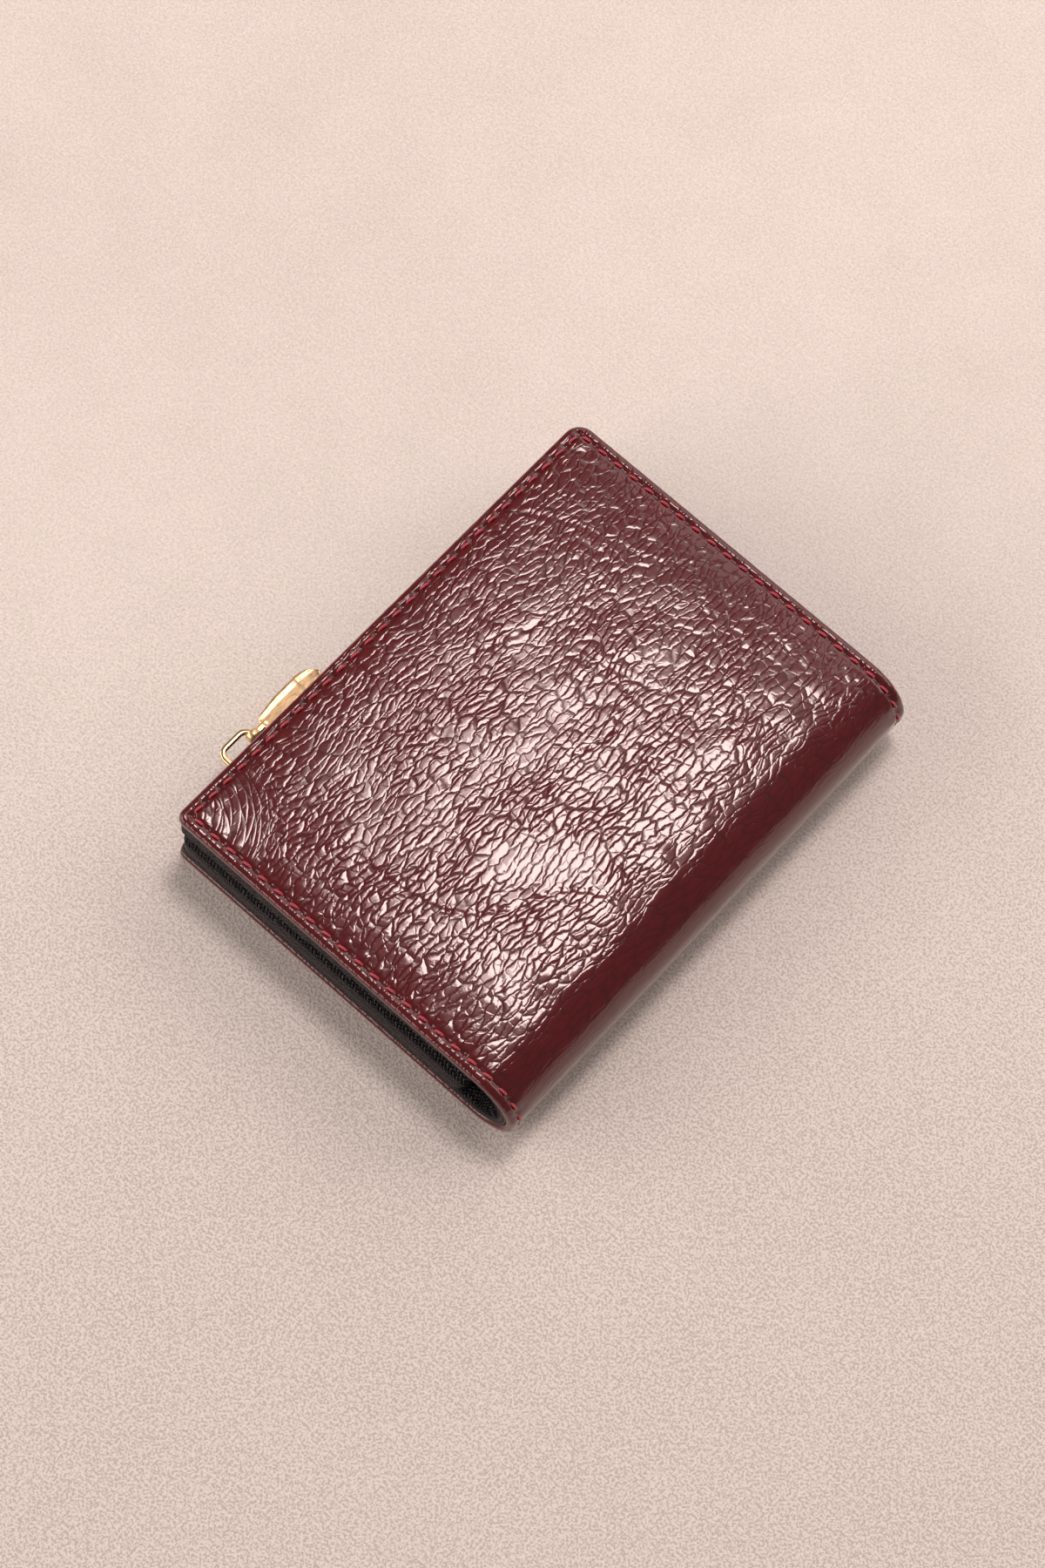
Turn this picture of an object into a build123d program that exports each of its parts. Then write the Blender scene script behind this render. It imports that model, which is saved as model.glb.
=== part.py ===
from build123d import *
import math
import os

# A compact bifold wallet with a zipped coin pocket, closed and lying on its back cover.
# Frame: +Y runs along the fold, +X points out of the fold, +Z is up. The origin is on the
# underside, midway between the open edge and the outside of the fold. All sizes are in mm.

# Overall size, closed
length = 115.0  # along the fold
width = 86.0  # open edge to the outside of the fold
height = 19.5  # outside of the back cover to outside of the front cover

# Layers, from the outside of a cover inwards
leather = 1.2  # outer leather
board = 0.8  # stiffener, as thick as the leather's turned-in border around it
lining = 0.4
bill_gap = 0.4  # room for banknotes behind the inner panel
inner_leather = 0.8  # inner panel and pocket leather

# Edges and fold
turn_width = 8.0  # border of outer leather turned in round the stiffener
inset = 0.4  # inner pieces stop this far inside the cover's edge
near_corner_radius = 1.2
far_corner_radius = 2.8
fold_clearance = 0.6  # between a cover panel and the fold piece

# Seam round the three free sides of each cover
seam_inset = 2.3
stitch_pitch = 4.0
stitch_length = 2.9
thread = 0.45
groove_width = 0.8
groove_depth = 0.55

# Coin pocket
pocket_wall = 1.2
pocket_depth = 3.6  # clear height between its floor and its top panel
pocket_fold_margin = 2.0  # pocket stops this far short of the cover panel's end
slip_mouth = -18.0  # x of the slip pocket's mouth
thumb_radius = 9.0

# Card slots in the front half
card_slots = 4
slot_step = 11.0
first_mouth = 24.0  # x of the mouth nearest the fold

# Zip
zip_inset = 5.5  # open edge to the middle of the chain
chain_width = 4.6
tooth_height = 2.0
tooth_length = 1.1
tooth_pitch = 2.5  # on one side
tooth_overlap = 0.3  # how far a tooth passes the chain's middle
tape = 0.4
tape_width = 5.6
outer_tape_width = 3.6
tape_half_length = 52.0
tape_grip = 0.9  # how far the tape's edge reaches into a tooth
chain_start = -41.2
chain_end = 42.4
window_half_length = 48.5
stop_length = 1.6
stop_lip = 0.5  # how far a top stop wraps past its tape's edge
stop_reach = 1.4  # how far it reaches over the tape
running_gap = 0.25

# Slider and pull
slider_y = -39.7
slider_length = 8.0
slider_width = 6.4
slider_plate = 0.7
slider_corner = 1.4
flange = 0.7
wedge_width = 1.4
wedge_length = 2.0
wedge_set_back = 0.3  # from the slider's front end
bail_width = 1.2
bail_wire = 0.9
bail_span = 5.2
bail_corner = 0.8
ring_wire = 1.2
ring_reach = 5.9  # how far the ring stands out past the open edge
ring_width = 8.5
ring_corner_radius = 2.4
ring_tail = 2.4  # ring's length past the bail
ring_play = 0.15
pull_width = 5.5
pull_thickness = 1.2
pull_length = 18.8  # from the ring's wire to the pull's tip
eye_length = 1.6
eye_wall = 0.65
eye_play = 0.2
lug_length = 2.6
shoulder_radius = 1.2
edge_gap = 0.45  # between the pull and the covers' open edge

# For cutting and joining
past = 1.0  # how far a cutting tool runs past the face that it cuts
lap = 0.5  # how far two pieces that are joined run into each other
same_place = 1e-6

# Worked out from the sizes above
half_length = length / 2
open_x = -width / 2
fold_radius = height / 2
fold_x = width / 2 - fold_radius  # where the flat covers meet the round fold
panel_end = fold_x - fold_clearance
hinge_x = fold_x + math.pi / 4 * fold_radius
hinge_z = (1 - math.pi / 4) * fold_radius
cover_depth = leather + board
lining_top = cover_depth + lining
panel_floor = lining_top + bill_gap
panel_top = panel_floor + inner_leather
zip_x = open_x + zip_inset
zip_z = panel_top + pocket_depth - tape / 2
coin_panel_floor = panel_top + pocket_depth
coin_panel_top = coin_panel_floor + inner_leather
pocket_end = panel_end - pocket_fold_margin
window_half_width = slider_width / 2 + running_gap
slider_half_height = tooth_height / 2 + running_gap + slider_plate
slider_top = zip_z + slider_half_height
ring_z = slider_top + ring_play + ring_wire / 2
ring_y = slider_y + (ring_width - ring_wire) / 2
pull_eye_y = slider_y + ring_width - ring_wire
pull_x = open_x - edge_gap - pull_width / 2


def slab(x0, x1, y0, y1, z0, z1):
    return Pos((x0 + x1) / 2, (y0 + y1) / 2, (z0 + z1) / 2) * Box(x1 - x0, y1 - y0, z1 - z0)


def round_corners(solid, x, near_radius, far_radius):
    """Round the upright edges at x: one radius at the near (-Y) end, one at the far end."""
    upright = solid.edges().filter_by(Axis.Z).filter_by(lambda e: abs(e.center().X - x) < same_place)
    solid = fillet(upright.sort_by(Axis.Y)[0], near_radius)
    upright = solid.edges().filter_by(Axis.Z).filter_by(lambda e: abs(e.center().X - x) < same_place)
    return fillet(upright.sort_by(Axis.Y)[-1], far_radius)


def panel(x0, x1, z0, z1, edge=inset):
    """A full-length sheet with the covers' two round corners at its open edge."""
    half = half_length - edge
    sheet = slab(x0, x1, -half, half, z0, z1)
    return round_corners(sheet, x0, near_corner_radius, far_corner_radius)


def fold_shell(outer, inner, y0, y1):
    """A half-round shell about the fold's own axis."""
    tube = Cylinder(outer, y1 - y0) - Cylinder(inner, y1 - y0)
    tube = Pos(fold_x, (y0 + y1) / 2, fold_radius) * Rot(90, 0, 0) * tube
    keep = slab(fold_x, fold_x + 2 * outer, y0, y1, fold_radius - outer, fold_radius + outer)
    return tube & keep


def to_front(part):
    """A back-half piece turned over to its place in the front half."""
    return mirror(part, about=Plane.XY.offset(height / 2))


def save(name, shape):
    export_step(shape, f"parts/{name}.step")


# Covers and what lies against them

def cover():
    """Outer leather of one half, with its border turned in and a groove for the seam."""
    sheet = panel(open_x, panel_end, 0, cover_depth, edge=0)
    board_half = half_length - turn_width
    sheet -= slab(open_x + turn_width, panel_end, -board_half, board_half, leather, cover_depth)
    seam_x = open_x + seam_inset
    seam_y = half_length - seam_inset
    half_groove = groove_width / 2
    sheet -= slab(seam_x - half_groove, seam_x + half_groove,
                  -seam_y - half_groove, seam_y + half_groove, 0, groove_depth)
    for side in (-1, 1):
        sheet -= slab(seam_x - half_groove, panel_end,
                      side * seam_y - half_groove, side * seam_y + half_groove, 0, groove_depth)
    return sheet


def stiffener():
    board_half = half_length - turn_width
    return slab(open_x + turn_width, panel_end, -board_half, board_half, leather, cover_depth)


def stitch_row(start, run):
    """Middles of the stitches along a run of the seam."""
    count = round(run / stitch_pitch)
    return [start + run * (i + 0.5) / count for i in range(count)]


def cover_stitching():
    seam_x = open_x + seam_inset
    seam_y = half_length - seam_inset
    z0 = groove_depth - thread
    along = [Pos(seam_x, y, z0 + thread / 2) * Box(thread, stitch_length, thread)
             for y in stitch_row(-seam_y, 2 * seam_y)]
    across = [Pos(x, side * seam_y, z0 + thread / 2) * Box(stitch_length, thread, thread)
              for side in (-1, 1)
              for x in stitch_row(seam_x, panel_end - seam_x)]
    return Compound(children=along + across)


def inner_panel():
    """Black panel over the lining: its hem stands on the lining at the open edge and one end."""
    sheet = panel(open_x + inset, panel_end, lining_top, panel_top)
    hem = turn_width - inset
    return sheet - slab(open_x + inset + hem, panel_end,
                        -half_length + inset + hem, half_length, lining_top, panel_floor)


# Fold

def fold_cover():
    shell = fold_shell(fold_radius, fold_radius - cover_depth, -half_length, half_length)
    board_half = half_length - turn_width
    shell -= fold_shell(fold_radius - leather, fold_radius - cover_depth - past,
                        -board_half, board_half)
    for side in (-1, 1):
        y = side * (half_length - seam_inset)
        shell -= fold_shell(fold_radius + past, fold_radius - groove_depth,
                            y - groove_width / 2, y + groove_width / 2)
    return shell


def fold_stiffener():
    board_half = half_length - turn_width
    return fold_shell(fold_radius - leather, fold_radius - cover_depth, -board_half, board_half)


def fold_lining():
    half = half_length - inset
    return fold_shell(fold_radius - cover_depth, fold_radius - lining_top, -half, half)


def fold_inner_panel():
    half = half_length - inset
    hem = turn_width - inset
    shell = fold_shell(fold_radius - lining_top, fold_radius - panel_top, -half, half)
    return shell - fold_shell(fold_radius - lining_top + past, fold_radius - panel_floor,
                              -half + hem, half + past)


def fold_stitching():
    """Stitches round both ends of the fold, each a short straight length in the groove."""
    count = round(math.pi * fold_radius / stitch_pitch)
    radius = fold_radius - groove_depth + thread / 2
    pieces = []
    for side in (-1, 1):
        for i in range(count):
            angle = 180 * (i + 0.5) / count - 90
            place = Pos(fold_x, side * (half_length - seam_inset), fold_radius) * Rot(0, angle, 0)
            pieces.append(place * Pos(radius, 0, 0) * Box(thread, thread, stitch_length))
    return Compound(children=pieces)


# Coin pocket on the back half

def coin_gusset():
    """Wall round the coin pocket, rebated along the open edge for the zip's outer tape."""
    floor_x = open_x + inset
    frame = panel(floor_x, pocket_end, panel_top, coin_panel_floor)
    half = half_length - inset - pocket_wall
    frame -= slab(floor_x + pocket_wall, pocket_end - pocket_wall, -half, half,
                  panel_top, coin_panel_floor)
    return frame - slab(floor_x - past, floor_x + 2 * pocket_wall,
                        -tape_half_length - running_gap, tape_half_length + running_gap,
                        coin_panel_floor - tape, coin_panel_floor)


def coin_panel():
    """Top of the coin pocket with the zip's window."""
    sheet = panel(open_x + inset, pocket_end, coin_panel_floor, coin_panel_top)
    return sheet - slab(zip_x - window_half_width, zip_x + window_half_width,
                        -window_half_length, window_half_length, coin_panel_floor, coin_panel_top)


def slip_pocket():
    """Flat pocket on the coin panel, with a thumb notch in its mouth."""
    half = half_length - inset
    z0, z1 = coin_panel_top, coin_panel_top + inner_leather
    notch = Pos(slip_mouth, 0, (z0 + z1) / 2) * Cylinder(thumb_radius, z1 - z0)
    return slab(slip_mouth, pocket_end, -half, half, z0, z1) - notch


# Zip

def tape_edge():
    """From the chain's middle to a tape's edge, which the teeth grip."""
    return chain_width / 2 - tape_grip


def zip_tape(side):
    """Woven tape of one side: -1 towards the open edge, 1 towards the fold."""
    edge = zip_x + side * tape_edge()
    span = outer_tape_width if side < 0 else tape_width
    x0, x1 = sorted((edge, edge + side * span))
    return slab(x0, x1, -tape_half_length, tape_half_length, zip_z - tape / 2, zip_z + tape / 2)


def zip_teeth(side):
    """One side's teeth, each slotted over the tape's edge."""
    count = int((chain_end - chain_start - tooth_length - tooth_pitch / 2) / tooth_pitch) + 1
    nose = zip_x - side * tooth_overlap
    heel = zip_x + side * chain_width / 2
    slot_start = zip_x + side * tape_edge()
    x0, x1 = sorted((nose, heel))
    s0, s1 = sorted((slot_start, heel + side * past))
    teeth = []
    for i in range(count):
        y = chain_start + tooth_length / 2 + (i + (0.5 if side > 0 else 0)) * tooth_pitch
        tooth = slab(x0, x1, y - tooth_length / 2, y + tooth_length / 2,
                     zip_z - tooth_height / 2, zip_z + tooth_height / 2)
        teeth.append(tooth - slab(s0, s1, y - tooth_length, y + tooth_length,
                                  zip_z - tape / 2, zip_z + tape / 2))
    return Compound(children=teeth)


def zip_top_stops():
    """A clamp on each tape, just past the closed slider."""
    y1 = slider_y - slider_length / 2 - running_gap
    clamps = []
    for side in (-1, 1):
        edge = zip_x + side * tape_edge()
        x0, x1 = sorted((edge - side * stop_lip, edge + side * stop_reach))
        s0, s1 = sorted((edge, edge + side * (stop_reach + past)))
        clamp = slab(x0, x1, y1 - stop_length, y1, zip_z - tooth_height / 2, zip_z + tooth_height / 2)
        clamps.append(clamp - slab(s0, s1, y1 - 2 * stop_length, y1 + past,
                                   zip_z - tape / 2, zip_z + tape / 2))
    return Compound(children=clamps)


def zip_bottom_stop():
    """One clamp over both tapes at the zip's far end."""
    y0 = chain_end + running_gap
    half = chain_width / 2
    clamp = slab(zip_x - half, zip_x + half, y0, y0 + 2 * stop_length,
                 zip_z - tooth_height / 2, zip_z + tooth_height / 2)
    for side in (-1, 1):
        s0, s1 = sorted((zip_x + side * tape_edge(), zip_x + side * (half + past)))
        clamp -= slab(s0, s1, y0 - past, y0 + 2 * stop_length + past,
                      zip_z - tape / 2, zip_z + tape / 2)
    return clamp


# Slider and pull

def zip_slider():
    """Two plates joined by a wedge, flanges that guide the chain, and a bail for the ring."""
    half_w, half_l = slider_width / 2, slider_length / 2
    y0, y1 = slider_y - half_l, slider_y + half_l
    body = slab(zip_x - half_w, zip_x + half_w, y0, y1,
                zip_z - slider_half_height, zip_z + slider_half_height)
    body = fillet(body.edges().filter_by(Axis.Z), slider_corner)
    channel = half_w - flange
    gap = tooth_height / 2 + running_gap
    body -= slab(zip_x - channel, zip_x + channel, y0, y1, zip_z - gap, zip_z + gap)
    tape_gap = tape / 2 + running_gap
    body -= slab(zip_x - 2 * half_w, zip_x + 2 * half_w, y0, y1, zip_z - tape_gap, zip_z + tape_gap)
    wedge_y = y0 + wedge_set_back
    body += slab(zip_x - wedge_width / 2, zip_x + wedge_width / 2, wedge_y, wedge_y + wedge_length,
                 zip_z - gap - slider_plate / 2, zip_z + gap + slider_plate / 2)
    bail_top = ring_z + ring_wire / 2 + ring_play + bail_wire
    arch = slab(zip_x - bail_width / 2, zip_x + bail_width / 2,
                slider_y - bail_span / 2, slider_y + bail_span / 2, slider_top - slider_plate / 2, bail_top)
    arch = fillet(arch.edges().filter_by(Axis.X).group_by(Axis.Z)[-1], bail_corner)
    hole_half = bail_span / 2 - bail_wire
    arch -= slab(zip_x - bail_width, zip_x + bail_width, slider_y - hole_half, slider_y + hole_half,
                 slider_top, bail_top - bail_wire)
    return body + arch


def pull_ring():
    """Wire ring, a long loop with round corners that lies flat through the bail."""
    x0 = open_x - ring_reach + ring_wire / 2
    x1 = zip_x + bail_width / 2 + ring_tail - ring_wire / 2
    loop = Rectangle(x1 - x0, ring_width - ring_wire)
    loop = fillet(loop.vertices(), ring_corner_radius - ring_wire / 2)
    path = Pos((x0 + x1) / 2, ring_y, ring_z) * loop.wire()
    start = path.edges().sort_by(Axis.Y)[-1] @ 0.5
    section = Plane(origin=start, x_dir=(0, 1, 0), z_dir=(1, 0, 0)) * Circle(ring_wire / 2)
    return sweep(section, path=path)


def pull_plate():
    """Flat round-ended pull with a rolled eye about the ring's wire."""
    tip = pull_eye_y + pull_length
    shoulder = pull_eye_y + lug_length
    outline = slab(pull_x - pull_width / 2, pull_x + pull_width / 2, shoulder, tip - pull_width / 2,
                   ring_z - pull_thickness / 2, ring_z + pull_thickness / 2)
    outline += Pos(pull_x, tip - pull_width / 2, ring_z) * Cylinder(pull_width / 2, pull_thickness)
    outline = fillet(outline.edges().filter_by(Axis.Z).group_by(Axis.Y)[0], shoulder_radius)
    outline += slab(pull_x - eye_length / 2, pull_x + eye_length / 2, pull_eye_y, shoulder + lap,
                    ring_z - pull_thickness / 2, ring_z + pull_thickness / 2)
    eye = ring_wire / 2 + eye_play
    outline += Pos(pull_x, pull_eye_y, ring_z) * Rot(0, 90, 0) * Cylinder(eye + eye_wall, eye_length)
    return outline - Pos(pull_x, pull_eye_y, ring_z) * Rot(0, 90, 0) * Cylinder(eye, 2 * eye_length)


# Card slots in the front half, stacked down from the inner panel

def card_slot(number):
    """Slot 0 lies against the inner panel, with its mouth nearest the fold."""
    z1 = height - panel_top - number * inner_leather
    mouth = first_mouth - number * slot_step
    return panel(open_x + inset, mouth, z1 - inner_leather, z1)


def main():
    os.makedirs("parts", exist_ok=True)
    save("back_cover", cover())
    save("back_stiffener", stiffener())
    save("back_lining", panel(open_x + inset, panel_end, cover_depth, lining_top))
    save("back_inner_panel", inner_panel())
    save("back_stitching", cover_stitching())
    save("front_cover", to_front(cover()))
    save("front_stiffener", to_front(stiffener()))
    save("front_lining", to_front(panel(open_x + inset, panel_end, cover_depth, lining_top)))
    save("front_inner_panel", to_front(inner_panel()))
    save("front_stitching", to_front(cover_stitching()))
    save("fold_cover", fold_cover())
    save("fold_stiffener", fold_stiffener())
    save("fold_lining", fold_lining())
    save("fold_inner_panel", fold_inner_panel())
    save("fold_stitching", fold_stitching())
    for number in range(card_slots):
        save(f"card_slot_{number + 1}", card_slot(number))
    save("coin_gusset", coin_gusset())
    save("coin_panel", coin_panel())
    save("slip_pocket", slip_pocket())
    save("zip_tape_outer", zip_tape(-1))
    save("zip_tape_inner", zip_tape(1))
    save("zip_teeth_outer", zip_teeth(-1))
    save("zip_teeth_inner", zip_teeth(1))
    save("zip_top_stops", zip_top_stops())
    save("zip_bottom_stop", zip_bottom_stop())
    save("zip_slider", zip_slider())
    save("pull_ring", pull_ring())
    save("pull_plate", pull_plate())
    print(f"hinge lines at x {hinge_x:.3f}, z {hinge_z:.3f} and {height - hinge_z:.3f}")
    print(f"ring axis y {slider_y:.3f}, z {ring_z:.3f}; pull axis y {pull_eye_y:.3f}, x {pull_x:.3f}")
    print(f"slider travel {chain_end - slider_y - slider_length / 2:.3f}")


main()
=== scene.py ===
import math
import bmesh
import bpy
import numpy as np
from mathutils import Matrix, Vector


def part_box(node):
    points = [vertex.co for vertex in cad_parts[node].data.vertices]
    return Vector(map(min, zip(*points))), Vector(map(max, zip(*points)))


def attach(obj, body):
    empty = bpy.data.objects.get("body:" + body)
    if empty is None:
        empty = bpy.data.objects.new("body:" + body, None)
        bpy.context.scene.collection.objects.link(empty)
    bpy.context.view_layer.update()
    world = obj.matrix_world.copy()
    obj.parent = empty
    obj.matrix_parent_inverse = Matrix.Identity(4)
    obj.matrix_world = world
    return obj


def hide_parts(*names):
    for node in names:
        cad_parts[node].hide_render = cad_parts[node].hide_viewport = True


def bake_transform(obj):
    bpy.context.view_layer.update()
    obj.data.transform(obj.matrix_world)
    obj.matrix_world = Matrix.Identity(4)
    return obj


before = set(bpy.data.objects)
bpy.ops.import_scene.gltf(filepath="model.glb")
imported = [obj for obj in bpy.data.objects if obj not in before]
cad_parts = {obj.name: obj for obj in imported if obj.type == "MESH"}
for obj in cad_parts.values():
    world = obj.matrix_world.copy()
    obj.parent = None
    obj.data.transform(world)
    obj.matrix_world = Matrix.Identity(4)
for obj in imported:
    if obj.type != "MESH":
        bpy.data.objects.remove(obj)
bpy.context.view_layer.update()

mm = 0.001


def nodeBox(name):
    # a CAD node's lowest and highest corners, in millimetres
    low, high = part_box(name)
    return np.array(low) / mm, np.array(high) / mm


# the wallet's own sizes in millimetres, all read from the frame
coverLow, coverHigh = nodeBox("back_cover")
foldLow, foldHigh = nodeBox("fold_cover")
boardLow, boardHigh = nodeBox("back_stiffener")
liningLow, liningHigh = nodeBox("back_lining")
panelHigh = nodeBox("back_inner_panel")[1]
seamLow, seamHigh = nodeBox("back_stitching")
openX = coverLow[0]
halfLength = coverHigh[1]
foldX = foldLow[0]
thick = foldHigh[2]
foldRadius = thick / 2
flatRun = foldX - openX
halfRun = flatRun + math.pi / 2 * foldRadius


# helpers for meshes

def place(u, v, depth, side):
    # u runs from the open edge over the flat cover and then round the fold, v along the fold;
    # depth goes inwards from the outside of the cover
    turn = np.maximum(u - flatRun, 0) / foldRadius
    reach = foldRadius - depth
    x = openX + np.minimum(u, flatRun) + reach * np.sin(turn)
    z = foldRadius - reach * np.cos(turn)
    return np.stack([x, v + 0 * x, thick - z if side == "front" else z], -1)


def steppedLine(marks, steps):
    # runs between marks, each cut into equal parts no longer than its step
    runs = [np.linspace(a, b, math.ceil((b - a) / step) + 1)[:-1]
            for a, b, step in zip(marks, marks[1:], steps)]
    return np.concatenate(runs + [marks[-1:]])


def smoothStep(low, high, value):
    t = np.clip((value - low) / (high - low), 0, 1)
    return t * t * (3 - 2 * t)


def gridFaces(index, wrap=False):
    # quads between neighbouring rows and columns of a table of vertex numbers
    if wrap:
        index = np.concatenate([index, index[:, :1]], 1)
    corners = index[:-1, :-1], index[1:, :-1], index[1:, 1:], index[:-1, 1:]
    return np.stack(corners, -1).reshape(-1, 4).tolist()


def tubeFaces(points):
    # quads all over rows of rings that also join up from the last row to the first
    index = np.arange(points.shape[0] * points.shape[1]).reshape(points.shape[:2])
    return gridFaces(np.vstack([index, index[:1]]), wrap=True)


def roundCorner(u, v, cornerU, cornerV, inU, inV, radius):
    # the square beside a corner is squeezed into a quarter disc: each coordinate shrinks by
    # the square root of one less half the other's square
    if radius <= 0:
        return u, v
    a = 1 - inU * (u - cornerU) / radius
    b = 1 - inV * (v - cornerV) / radius
    inside = (a > 0) & (b > 0)
    a, b = np.clip(a, 0, 1), np.clip(b, 0, 1)
    newU = cornerU + inU * radius * (1 - a * np.sqrt(1 - b * b / 2))
    newV = cornerV + inV * radius * (1 - b * np.sqrt(1 - a * a / 2))
    return np.where(inside, newU, u), np.where(inside, newV, v)


def slabShape(uLine, vLine, put, face, back, bulge, corners=(0, 0, 0, 0), cut=False, steps=(),
              notch=None, rimRows=6, shear=1.0):
    # a closed slab of leather, board or cloth. Its face is a grid over u and v with rounded
    # corners, its rim is a half ellipse carried round the outline, and its back is closed by
    # rungs from end to end. A cut slab stops flat at its last u, where the other half joins on.
    u, v = np.meshgrid(uLine, vLine, indexing="ij")
    rows, columns = u.shape
    u, v = roundCorner(u, v, uLine[0], vLine[0], 1, 1, corners[0])
    u, v = roundCorner(u, v, uLine[0], vLine[-1], 1, -1, corners[1])
    u, v = roundCorner(u, v, uLine[-1], vLine[0], -1, 1, corners[2])
    u, v = roundCorner(u, v, uLine[-1], vLine[-1], -1, -1, corners[3])
    if notch is not None:
        u = u + notch(v) * (uLine[-1] - u) / (uLine[-1] - uLine[0])
    index = np.arange(rows * columns).reshape(rows, columns)
    path = [index[::-1, 0], index[0, 1:], index[1:, -1]]
    if not cut:
        path.append(index[-1, -2:0:-1])
    path = np.concatenate(path)
    faceDepth = face(u, v) if callable(face) else np.full(u.shape, float(face))
    edgeU, edgeV, edgeDepth = u.ravel()[path], v.ravel()[path], faceDepth.ravel()[path]
    if cut:
        alongU, alongV = np.gradient(edgeU), np.gradient(edgeV)
    else:
        alongU = np.roll(edgeU, -1) - np.roll(edgeU, 1)
        alongV = np.roll(edgeV, -1) - np.roll(edgeV, 1)
    size = np.hypot(alongU, alongV)
    outU, outV = -alongV / size, alongU / size
    backDepth = back(edgeU, edgeV) if callable(back) else np.full(edgeU.shape, float(back))
    turns = np.pi * np.arange(1, rimRows + 1)[:, None] / rimRows
    ringU = edgeU + bulge * np.sin(turns) * outU
    ringV = edgeV + bulge * np.sin(turns) * outV
    ringDepth = edgeDepth + (backDepth - edgeDepth) * (1 - np.cos(turns)) / 2
    for inset, near, far, depth in steps:
        spanU, spanV = uLine[-1] - uLine[0], vLine[-1] - vLine[0]
        stepU = uLine[-1] - (uLine[-1] - edgeU) * (spanU - inset) / spanU
        stepV = vLine[0] + near + (edgeV - vLine[0]) * (spanV - near - far) / spanV
        ringU = np.vstack([ringU, stepU])
        ringV = np.vstack([ringV, stepV])
        ringDepth = np.vstack([ringDepth, 0 * stepU + depth])
    rings = rows * columns + np.arange(ringU.size).reshape(ringU.shape)
    faces = gridFaces(index) + gridFaces(np.vstack([path, rings]), wrap=not cut)
    last = rings[-1]
    near = last[:rows][::-1]
    far = last[rows + columns - 2:2 * rows + columns - 2]
    faces += np.stack([near[:-1], near[1:], far[1:], far[:-1]], -1).tolist()
    faces.append(last[rows - 1:rows + columns - 1].tolist())
    if cut:
        faces.append(index[-1].tolist() + rings[:, -1].tolist() + rings[::-1, 0].tolist())
    else:
        faces.append([far[-1], *last[2 * rows + columns - 2:].tolist(), near[-1]])
    allU = np.concatenate([u.ravel(), ringU.ravel()])
    allV = np.concatenate([v.ravel(), ringV.ravel()])
    depth = np.concatenate([faceDepth.ravel(), ringDepth.ravel()])
    # the pattern also runs on with the depth, so that it isn't drawn out into lines on the rim
    return put(allU, allV, depth), faces, np.stack([allU + shear * depth, allV + shear * depth], -1)


def joinShapes(shapes):
    # several shapes as one: points, faces and pattern coordinates one after another
    points, faces, flats, start = [], [], [], 0
    for shapePoints, shapeFaces, shapeFlat in shapes:
        points.append(shapePoints)
        flats.append(shapeFlat)
        faces += [[start + i for i in face] for face in shapeFaces]
        start += len(shapePoints)
    return np.concatenate(points), faces, np.concatenate(flats)


def makePiece(name, shape, material, replaced=(), cut=False, extraFlat=None):
    # points arrive in millimetres; the pattern coordinates go into the piece's own UV map
    points, faces, flat = shape
    mesh = bpy.data.meshes.new(name)
    mesh.from_pydata((points * mm).tolist(), [], faces)
    tidy = bmesh.new()
    tidy.from_mesh(mesh)
    bmesh.ops.recalc_face_normals(tidy, faces=tidy.faces)
    tidy.to_mesh(mesh)
    tidy.free()
    corner = np.empty(len(mesh.loops), int)
    mesh.loops.foreach_get("vertex_index", corner)
    mesh.uv_layers.new(name="pattern").data.foreach_set("uv", flat[corner].astype(np.float32).ravel())
    for label, values in (extraFlat or {}).items():
        mesh.uv_layers.new(name=label).data.foreach_set("uv", values[corner].astype(np.float32).ravel())
    mesh.shade_smooth()
    if cut:
        cap = mesh.polygons[len(faces) - 1]
        cap.use_smooth = False
        for i in cap.loop_indices:
            mesh.edges[mesh.loops[i].edge_index].use_edge_sharp = True
    mesh.materials.append(material)
    piece = bpy.data.objects.new(name, mesh)
    bpy.context.scene.collection.objects.link(piece)
    if replaced:
        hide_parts(*replaced)
    return piece


def bendWithFold(piece, side, depth):
    # bakes the piece's placement into its points, the same way for either half
    if side == "back":
        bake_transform(piece)
    else:
        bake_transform(piece)


# helpers for materials

def addNode(tree, kind, inputs=(), **settings):
    made = tree.nodes.new(kind)
    for key, value in settings.items():
        setattr(made, key, value)
    for key, value in dict(inputs).items():
        if isinstance(value, bpy.types.NodeSocket):
            tree.links.new(value, made.inputs[key])
        else:
            made.inputs[key].default_value = value
    return made


def maths(tree, operation, *values):
    return addNode(tree, "ShaderNodeMath", dict(enumerate(values)), operation=operation).outputs[0]


def weighted(tree, *terms):
    # the sum of each value times its weight
    total = 0.0
    for value, weight in terms:
        total = maths(tree, "MULTIPLY_ADD", value, weight, total)
    return total


def vectorMaths(tree, operation, *values):
    return addNode(tree, "ShaderNodeVectorMath", dict(enumerate(values)), operation=operation).outputs[0]


def ramp(tree, value, low, high, toLow=0.0, toHigh=1.0, kind="SMOOTHSTEP"):
    inputs = {"Value": value, "From Min": low, "From Max": high, "To Min": toLow, "To Max": toHigh}
    return addNode(tree, "ShaderNodeMapRange", inputs, interpolation_type=kind).outputs[0]


def mixColours(tree, share, first, second):
    mixed = addNode(tree, "ShaderNodeMix", {0: share, 6: first, 7: second}, data_type="RGBA")
    return mixed.outputs[2]


def noise(tree, vector, scale, detail=2.0, roughness=0.5):
    inputs = {"Vector": vector, "Scale": scale, "Detail": detail, "Roughness": roughness}
    return addNode(tree, "ShaderNodeTexNoise", inputs)


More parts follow.
